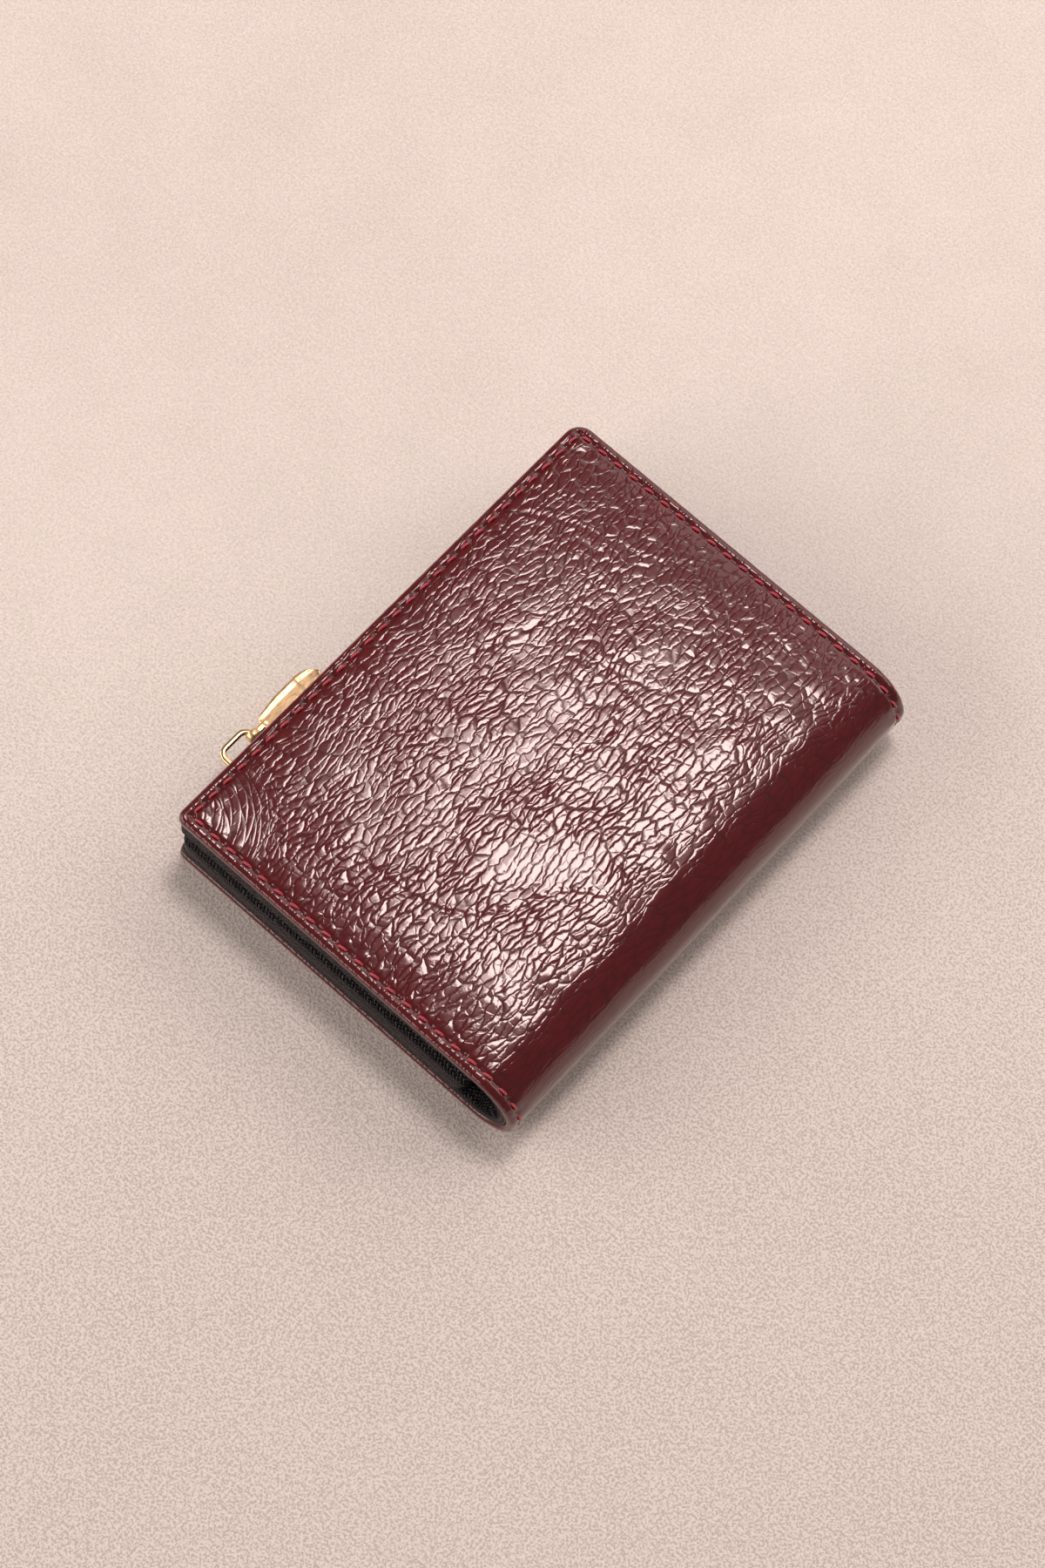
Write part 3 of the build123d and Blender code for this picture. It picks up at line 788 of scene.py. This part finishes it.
def halfLayer(name, side, start, ends, depths, bulge, material, replaced, crease=0.0, steps=()):
    # one layer of a half, from its edges to the middle of the fold; its face looks inwards
    faceDepth, backDepth = depths
    low, high = start + bulge, halfLength - ends - bulge
    band, edgeStep, step = inner["edgeBand"], inner["edgeStep"], inner["step"]
    uLine = steppedLine([low, low + band, flatRun, halfRun], [edgeStep, step, inner["foldStep"]])
    vLine = steppedLine([-high, band - high, high - band, high], [edgeStep, step, edgeStep])

    def faceRise(u, v):
        edge = np.minimum(u - start, halfLength - ends - np.abs(v))
        sag = inner["sag"] * crease * ripples(u, v, inner["sagWave"], 3)
        return faceDepth - creased(edge, crease) + sag

    shape = slabShape(uLine, vLine, lambda u, v, d: place(u, v, d, side), faceRise, backDepth, bulge,
                      (leather["cornerNear"], leather["cornerFar"], 0, 0), cut=True, steps=steps)
    piece = makePiece(name, shape, material, replaced, cut=True)
    bendWithFold(piece, side, faceDepth)
    return piece


for side in ("back", "front"):
    edgeInset, boardInset = liningLow[0] - openX, boardLow[0] - openX
    hem, gapFloor = inner["hem"], liningHigh[2] + inner["gap"]
    halfLayer(f"{side}_board", side, boardInset, halfLength - boardHigh[1],
              (boardHigh[2], boardLow[2]), inner["boardBulge"], boardMaterial,
              (f"{side}_stiffener", "fold_stiffener"))
    liningCloth = halfLayer(f"{side}_lining_cloth", side, edgeInset, edgeInset,
                            (liningHigh[2], liningLow[2]), inner["liningBulge"], liningMaterial,
                            (f"{side}_lining", "fold_lining"))
    halfLayer(f"{side}_panel", side, edgeInset, edgeInset, (panelHigh[2], liningHigh[2]),
              inner["panelBulge"], innerMaterial,
              (f"{side}_inner_panel", "fold_inner_panel"), crease=inner["creaseDepth"],
              steps=[(hem, hem, hem, liningHigh[2]), (hem, hem, hem, gapFloor)])
print("inner layers are made")


# flat leather pieces inside: card slots and the coin pocket
pockets = {"bulge": 0.36, "crease": 0.09, "sag": 0.03, "sagWave": 15.0, "step": 2.0, "edgeBand": 4.0,
           "edgeStep": 0.4, "endStep": 0.5, "corner": 1.2, "farCorner": 2.6, "sharpCorner": 0.4,
           "thumb": 9.0, "thumbBand": 11.0, "thumbStep": 0.25, "wall": 1.2,
           "panelThick": 0.4, "hollowCorner": 1.4, "soft": 0.28, "windowGap": 0.25,
           "windowHalf": 48.5, "windowCorner": 0.9}


def flatPut(u, v, height):
    # straight on: u is x from the open edge, depth is the height itself
    return np.stack([openX + u, v, height], -1)


def flatSlab(name, body, replaced, mouthFirst=False, notch=None, faceUp=True):
    # a soft-edged slab in a CAD node's box, creased just inside its mouth
    low, high = nodeBox(replaced)
    bulge, band = pockets["bulge"], pockets["edgeBand"]
    u0, u1 = low[0] - openX + bulge, high[0] - openX - bulge
    v1 = high[1] - bulge
    face, back, way = (high[2], low[2], 1) if faceUp else (low[2], high[2], -1)
    edgeStep, endStep, step = (pockets[key] for key in ("edgeStep", "endStep", "step"))
    uLine = steppedLine([u0, u0 + band, u1 - band, u1], [edgeStep, step, edgeStep])
    marks, steps = [-v1, band - v1, v1 - band, v1], [endStep, step, endStep]
    if notch:
        marks[2:2] = [-pockets["thumbBand"], pockets["thumbBand"]]
        steps[2:2] = [pockets["thumbStep"], step]
    vLine = steppedLine(marks, steps)

    def faceHeight(u, v):
        edge = (u - u0 - (notch(v) if notch else 0)) if mouthFirst else (u1 - u)
        sag = pockets["sag"] * ripples(u, v, pockets["sagWave"], 6)
        return face - way * creased(edge, pockets["crease"]) + way * sag

    sharp = pockets["sharpCorner"]
    openCorners = (sharp, sharp) if mouthFirst else (pockets["corner"], pockets["farCorner"])
    shape = slabShape(uLine, vLine, flatPut, faceHeight, back, bulge, (*openCorners, sharp, sharp),
                      notch=notch)
    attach(makePiece(name, shape, innerMaterial, (replaced,)), body)


for number in (1, 2, 3, 4):
    flatSlab(f"card_pocket_{number}", "front_half", f"card_slot_{number}", faceUp=False)

flatSlab("slip_pocket_leather", "back_half", "slip_pocket", mouthFirst=True,
         notch=lambda v: np.sqrt(np.maximum(pockets["thumb"] ** 2 - v ** 2, 0)))


def rectanglePath(low, high, radius, count=8, between=24):
    # round a rectangle with one corner radius: each corner is a quarter circle and the same
    # number of points lies on every side, so that two such paths can be joined point by point
    turns = np.pi / 2 * np.arange(count + 1) / count
    middles = [(high[0], high[1]), (low[0], high[1]), (low[0], low[1]), (high[0], low[1])]
    way = [(-1, -1), (1, -1), (1, 1), (-1, 1)]
    corners = []
    for i in range(4):
        centre = np.array(middles[i]) + radius * np.array(way[i])
        angle = turns + i * np.pi / 2
        corners.append(centre + radius * np.stack([np.cos(angle), np.sin(angle)], -1))
    sides = []
    for i in range(4):
        share = np.linspace(0, 1, between + 2)[1:-1, None]
        sides += [corners[i], corners[i][-1] * (1 - share) + corners[(i + 1) % 4][0] * share]
    return np.concatenate(sides)


def frameShape(outer, window, low, high, soft, count=4):
    # a flat frame between two outlines: its section is a rectangle with rounded edges,
    # stretched from the outer outline to the window
    turns = np.pi / 2 * np.arange(count + 1) / count
    across = window - outer
    inward = across / np.linalg.norm(across, axis=1)[:, None]
    top, bottom = high - soft, low + soft
    sides = []
    for atWindow, middle, tilt in ((0, top, np.pi), (1, top, np.pi / 2), (1, bottom, 0),
                                   (0, bottom, -np.pi / 2)):
        angle = (tilt - turns)[:, None, None]
        shift = soft * np.cos(angle) + (-soft if atWindow else soft)
        flat = outer + across * atWindow + inward * shift
        height = middle + soft * np.sin(angle) + 0 * flat[..., :1]
        sides.append(np.concatenate([flat, height], -1))
    rings = np.concatenate(sides)
    points = rings.reshape(-1, 3)
    return points, tubeFaces(rings), points[:, :2] + points[:, 2:] - np.array([openX, 0])


def coinPocket():
    low, high = nodeBox("coin_gusset")
    wall, soft = pockets["wall"], pockets["soft"]
    outer = rectanglePath(low[:2], high[:2], pockets["farCorner"])
    hollow = rectanglePath(low[:2] + wall, high[:2] - wall, pockets["hollowCorner"])
    wallTop = high[2] - pockets["panelThick"]
    gusset = makePiece("coin_pocket_wall", frameShape(outer, hollow, low[2], wallTop, soft),
                       innerMaterial, ("coin_gusset",))
    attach(gusset, "back_half")
    low, high = nodeBox("coin_panel")
    zipLow, zipHigh = nodeBox("zip_slider")
    middle, half = (zipLow[0] + zipHigh[0]) / 2, (zipHigh[0] - zipLow[0]) / 2 + pockets["windowGap"]
    outer = rectanglePath(low[:2], high[:2], pockets["farCorner"])
    end = pockets["windowHalf"]
    window = rectanglePath((middle - half, -end), (middle + half, end), pockets["windowCorner"])
    panel = makePiece("coin_pocket_top", frameShape(outer, window, low[2], high[2], soft),
                      innerMaterial, ("coin_panel",))
    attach(panel, "back_half")


coinPocket()
print("pockets are made")


# zip: tapes, teeth, slider, ring and pull
zipper = {"toothRows": 7, "toothAround": 8, "toothLength": 1.1, "pitch": 2.5,
          "waist": 0.28, "waistAt": 0.55, "waistRun": 0.16, "square": 0.5, "noseRound": 6,
          "endShare": 0.04, "tapeBulge": 0.12, "tapeCorner": 0.2, "tapeSteps": (0.4, 1.5)}


def squareRound(angle, power):
    # a circle drawn out towards a square: cosine and sine, each to a power below one
    return [np.sign(a) * np.abs(a) ** power for a in (np.cos(angle), np.sin(angle))]


def zipTape(name):
    # a thin strip of cloth in its CAD node's box
    low, high = nodeBox(name)
    bulge = zipper["tapeBulge"]
    uStep, vStep = zipper["tapeSteps"]
    uLine = steppedLine([low[0] - openX + bulge, high[0] - openX - bulge], [uStep])
    vLine = steppedLine([low[1] + bulge, high[1] - bulge], [vStep])
    shape = slabShape(uLine, vLine, flatPut, high[2], low[2], bulge, (zipper["tapeCorner"],) * 4)
    piece = makePiece(name.replace("zip_tape", "woven_tape"), shape, tapeMaterial, (name,))
    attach(piece, "back_half")


def zipTeeth(name):
    # each tooth is a waisted block whose round nose hooks past the chain's middle: rings of a
    # squarish oval, carried from heel to nose, wide at the nose and narrow behind it
    low, high = nodeBox(name)
    outwards = 1 if "inner" in name else -1
    length = zipper["toothLength"]
    count = round((high[1] - low[1] - length) / zipper["pitch"]) + 1
    t = np.linspace(0, 1, zipper["toothRows"])[:, None]
    angle = 2 * np.pi * np.arange(zipper["toothAround"])[None, :] / zipper["toothAround"] + np.pi / 8
    oval = squareRound(angle, zipper["square"])
    ends = np.sqrt(np.clip(1 - (2 * t - 1) ** zipper["noseRound"], zipper["endShare"], 1))
    waist = 1 - zipper["waist"] * hump(t - zipper["waistAt"], zipper["waistRun"])
    nose = low[0] if outwards > 0 else high[0]
    x = nose + outwards * (high[0] - low[0]) * t + 0 * oval[0]
    y = oval[0] * length / 2 * ends * waist
    z = (low[2] + high[2]) / 2 + oval[1] * (high[2] - low[2]) / 2 * ends
    tooth = np.stack([x, y, z], -1).reshape(-1, 3)
    starts = low[1] + length / 2 + zipper["pitch"] * np.arange(count)
    points = (tooth[None] + np.stack([0 * starts, starts, 0 * starts], -1)[:, None]).reshape(-1, 3)
    index = np.arange(len(tooth)).reshape(zipper["toothRows"], zipper["toothAround"])
    faces = gridFaces(index, wrap=True) + [index[0].tolist(), index[-1].tolist()]
    allFaces = [[i + k * len(tooth) for i in face] for k in range(count) for face in faces]
    piece = makePiece(name.replace("zip_teeth", "shaped_teeth"), (points, allFaces, points[:, :2]),
                      teethMaterial, (name,))
    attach(piece, "back_half")


for name in ("zip_tape_outer", "zip_tape_inner"):
    zipTape(name)
for name in ("zip_teeth_outer", "zip_teeth_inner"):
    zipTeeth(name)


ring = {"corner": 2.4, "around": 16, "square": 0.6}


def ringWire():
    # a soft square wire carried along a rounded rectangle
    low, high = nodeBox("pull_ring")
    wire = (high[2] - low[2]) / 2
    radius = ring["corner"] - wire
    path = rectanglePath(low[:2] + wire, high[:2] - wire, radius)
    centre = np.concatenate([path, np.full((len(path), 1), (low[2] + high[2]) / 2)], 1)
    along = np.roll(centre, -1, 0) - np.roll(centre, 1, 0)
    along /= np.linalg.norm(along, axis=1)[:, None]
    outward = np.stack([along[:, 1], -along[:, 0], 0 * along[:, 0]], -1)
    angle = 2 * np.pi * np.arange(ring["around"])[:, None, None] / ring["around"]
    across, upward = squareRound(angle, ring["square"])
    rings = centre + wire * (across * outward + upward * np.array([0, 0, 1]))
    points = rings.reshape(-1, 3)
    piece = makePiece("ring_wire", (points, tubeFaces(rings), points[:, :2]), goldMaterial,
                      ("pull_ring",))
    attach(piece, "ring")


pull = {"thick": 1.2, "shoulder": 2.6, "bulge": 0.42, "corner": 1.3, "lean": 0.10, "waist": 0.25,
        "waistRun": 7.0, "tongue": 5.0, "tipShare": 1.05, "rim": 0.10, "rimAt": 0.2, "rimWidth": 0.35,
        "dish": 0.12, "dishFrom": 0.3, "dishTo": 1.2, "ridge": 0.16, "ridgeAt": 4.6, "ridgeWidth": 0.5,
        "eyeOuter": 1.45, "eyeBore": 0.8, "eyeHalf": 0.8, "eyeSoft": 0.14, "eyeSteps": 28,
        "neck": 0.6, "neckThick": 0.45, "neckBulge": 0.3, "neckCorner": 0.1, "neckStep": 0.3,
        "intoEye": 0.25, "intoPlate": 1.2, "eyeBand": 3.0, "tipBand": 4.0,
        "plateSteps": (0.25, 0.35, 0.2), "tipGap": 0.02}


def pullPlate():
    # a flat round-ended tab with a raised rim and a bar near its tip, and an eye rolled
    # about the ring's wire
    low, high = nodeBox("pull_plate")
    ringLow, ringHigh = nodeBox("pull_ring")
    middleX, middleZ = (low[0] + high[0]) / 2, (ringLow[2] + ringHigh[2]) / 2
    eyeY, tip = low[1] + pull["eyeOuter"], high[1]
    bulge, halfThick, tongue = pull["bulge"], pull["thick"] / 2, pull["tongue"]
    half = (high[0] - low[0]) / 2 - bulge
    start = eyeY + pull["shoulder"]

    def plateHeight(u, v):
        # the plate is dished inside a raised rim, leans to one side and has a bar across it
        fromEdge = np.minimum(half - np.abs(v), np.minimum(u - start, tip - u))
        rim = pull["rim"] * hump(fromEdge - pull["rimAt"], pull["rimWidth"])
        bar = pull["ridge"] * hump(u - tip + pull["ridgeAt"], pull["ridgeWidth"])
        dish = pull["dish"] * (1 + smoothStep(pull["dishFrom"], pull["dishTo"], fromEdge))
        return middleZ + halfThick - dish + rim + bar + pull["lean"] * v

    def put(u, v, height):
        # narrow at the eye, widest past the middle, then half an ellipse down to the tip
        wide = 1 - pull["waist"] * smoothStep(start + pull["waistRun"], start, u)
        towardTip = np.clip((u - tip + tongue) / (pull["tipShare"] * tongue), 0, 1)
        wide = wide * np.sqrt(1 - towardTip ** 2)
        return np.stack([middleX + v * wide, u, height], -1)

    uLine = steppedLine([start + bulge, start + pull["eyeBand"], tip - pull["tipBand"], tip - bulge],
                        pull["plateSteps"])
    vLine = steppedLine([-half, half], pull["plateSteps"][:1])
    corner, tipCorner = pull["corner"], half - pull["tipGap"]
    plate = slabShape(uLine, vLine, put, plateHeight, middleZ - halfThick, bulge,
                      (corner, corner, tipCorner, tipCorner))

    # the eye: a rectangle with its four corners cut off, carried round the ring's wire
    h, soft, outer, bore = (pull[key] for key in ("eyeHalf", "eyeSoft", "eyeOuter", "eyeBore"))
    section = np.array([(-h, bore + soft), (-h, outer - soft), (soft - h, outer), (h - soft, outer),
                        (h, outer - soft), (h, bore + soft), (h - soft, bore), (soft - h, bore)])
    turns = 2 * np.pi * np.arange(pull["eyeSteps"]) / pull["eyeSteps"]
    across, radius = section[:, :1], section[:, 1:]
    rings = np.stack([middleX + across + 0 * turns, eyeY + radius * np.cos(turns),
                      middleZ + radius * np.sin(turns)], -1)
    points = rings.reshape(-1, 3)
    eye = points, tubeFaces(rings), points[:, :2]

    # the neck between them
    neckHalf, neckThick, step = pull["neck"], pull["neckThick"], pull["neckStep"]
    neckU = steppedLine([eyeY + outer - pull["intoEye"], start + pull["intoPlate"]], [step])
    neckV = steppedLine([-neckHalf, neckHalf], [step])
    neck = slabShape(neckU, neckV, put, middleZ + neckThick, middleZ - neckThick, pull["neckBulge"],
                     (pull["neckCorner"],) * 4)
    piece = makePiece("pull_tab", joinShapes([plate, eye, neck]), satinMaterial,
                      ("pull_plate",))
    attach(piece, "pull")


ringWire()
pullPlate()

for name in ("zip_slider", "zip_top_stops", "zip_bottom_stop"):
    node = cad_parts[name]
    node.data.materials.clear()
    node.data.materials.append(goldMaterial)
print("zip is made")


# each pane of light: name, where it stands, its distance, its width and height, its glow;
# the first four stand one in front of another and make one soft box, brightest at its middle
studio = {"ambient": 0.2, "lightColour": (1.0, 0.80, 0.77),
          "panes": [("outerPane", (-0.18, 0.36, 1.13), 1.21, (0.44, 0.355), 1.1),
                    ("middlePane", (-0.155, 0.34, 1.13), 1.19, (0.37, 0.29), 2.7),
                    ("innerPane", (-0.13, 0.335, 1.13), 1.17, (0.30, 0.27), 5.6),
                    ("corePane", (-0.095, 0.33, 1.13), 1.15, (0.25, 0.25), 10.8),
                    ("farBox", (0.0, 0.85, 0.85), 1.4, (1.2, 0.6), 1.4),
                    ("farWall", (-0.3, 1.0, 0.45), 1.6, (2.0, 0.7), 1.0),
                    ("sideBox", (0.5, 0.75, 0.5), 1.6, (0.8, 0.8), 2.0),
                    ("nearFill", (-0.9, -0.95, 0.5), 1.7, (2.4, 0.9), 3.4)]}


# the floor's paper: scales in waves to the metre
paper = {"pale": (0.94, 0.95, 0.88, 1), "deeper": (0.64, 0.63, 0.57, 1), "size": 3.0, "drop": 0.00005,
         "roughness": 0.9, "specular": 0.2, "toneBroad": 7.0, "toneFine": 60.0, "toneShare": 0.8,
         "grains": 2000.0, "grainRoughness": 0.7, "grainShare": 10.0, "relief": 0.25, "shift": 0.35,
         "evenFrom": -0.10, "coarseFrom": 0.16, "even": 0.25, "coarse": 1.1}


def makeFloor():
    # a flat board covered in pale suede paper, whose grain is coarser on one side
    half = paper["size"] / 2
    line = np.array([-half, half])
    x, y = np.meshgrid(line, line, indexing="ij")
    points = np.stack([x, y, 0 * x - paper["drop"]], -1).reshape(-1, 3)
    mesh = bpy.data.meshes.new("floor")
    mesh.from_pydata(points.tolist(), [], [[0, 2, 3, 1]])
    material, tree, surface = newMaterial(
        "floorPaper", {"Roughness": paper["roughness"], "Specular IOR Level": paper["specular"]})
    where = tree.nodes.new("ShaderNodeTexCoord").outputs["Object"]
    grains = noise(tree, where, paper["grains"], 3.0, paper["grainRoughness"]).outputs[0]
    parts = addNode(tree, "ShaderNodeSeparateXYZ", {0: where}).outputs
    coarser = ramp(tree, maths(tree, "SUBTRACT", parts[0], parts[1]), paper["evenFrom"],
                   paper["coarseFrom"], paper["even"], paper["coarse"])
    speckle = maths(tree, "MULTIPLY", maths(tree, "SUBTRACT", grains, 0.5), coarser)
    tone = tint(tree, where, paper["toneBroad"], paper["toneFine"])
    share = weighted(tree, (tone, paper["toneShare"]), (speckle, paper["grainShare"]),
                     (paper["shift"], 1))
    paint(tree, surface, limited(tree, share), paper["pale"], paper["deeper"])
    bump(tree, surface, maths(tree, "MULTIPLY", speckle, paper["relief"]))
    mesh.materials.append(material)
    floor = bpy.data.objects.new("floor", mesh)
    bpy.context.scene.collection.objects.link(floor)


def softBox(name, toward, distance, size, glow, colour):
    # glow is the pane's own brightness, so its power grows with its area
    lamp = bpy.data.lights.new(name, "AREA")
    lamp.shape = "RECTANGLE"
    lamp.size, lamp.size_y = size
    lamp.energy = glow * math.pi * size[0] * size[1]
    lamp.color = colour
    stand = bpy.data.objects.new(name, lamp)
    spot = Vector(toward).normalized() * distance
    stand.matrix_world = Matrix.Translation(spot) @ (-spot).to_track_quat("-Z", "Y").to_matrix().to_4x4()
    bpy.context.scene.collection.objects.link(stand)


makeFloor()
for pane in studio["panes"]:
    softBox(*pane, studio["lightColour"])

world = bpy.data.worlds.new("studioAir")
world.use_nodes = True
background = world.node_tree.nodes["Background"]
background.inputs["Color"].default_value = (*studio["lightColour"], 1)
background.inputs["Strength"].default_value = studio["ambient"]
bpy.context.scene.world = world
bpy.context.scene.view_settings.view_transform = "Standard"

shot = {"azimuth": 32.915, "elevation": 68.191, "roll": -9.507, "distance": 0.79009, "lens": 93.18,
        "sensor": 36, "nearest": 0.01, "target": (-0.003805, -0.001155, 0.0)}


def makeCamera():
    # the camera looks at the target from its azimuth and elevation, rolled about its own axis
    a, e, r = (math.radians(shot[key]) for key in ("azimuth", "elevation", "roll"))
    back = Vector((math.sin(a) * math.cos(e), -math.cos(a) * math.cos(e), math.sin(e)))
    right = Vector((math.cos(a), math.sin(a), 0))
    up = back.cross(right)
    rolledRight = math.cos(r) * right - math.sin(r) * up
    rolledUp = math.sin(r) * right + math.cos(r) * up
    lens = bpy.data.cameras.new("camera")
    lens.lens = shot["lens"]
    lens.sensor_width = shot["sensor"]
    lens.clip_start = shot["nearest"]
    camera = bpy.data.objects.new("camera", lens)
    turn = Matrix((rolledRight, rolledUp, back)).transposed().to_4x4()
    camera.matrix_world = Matrix.Translation(Vector(shot["target"]) + back * shot["distance"]) @ turn
    bpy.context.scene.collection.objects.link(camera)
    bpy.context.scene.camera = camera


makeCamera()
print("stage, lights and camera are set")
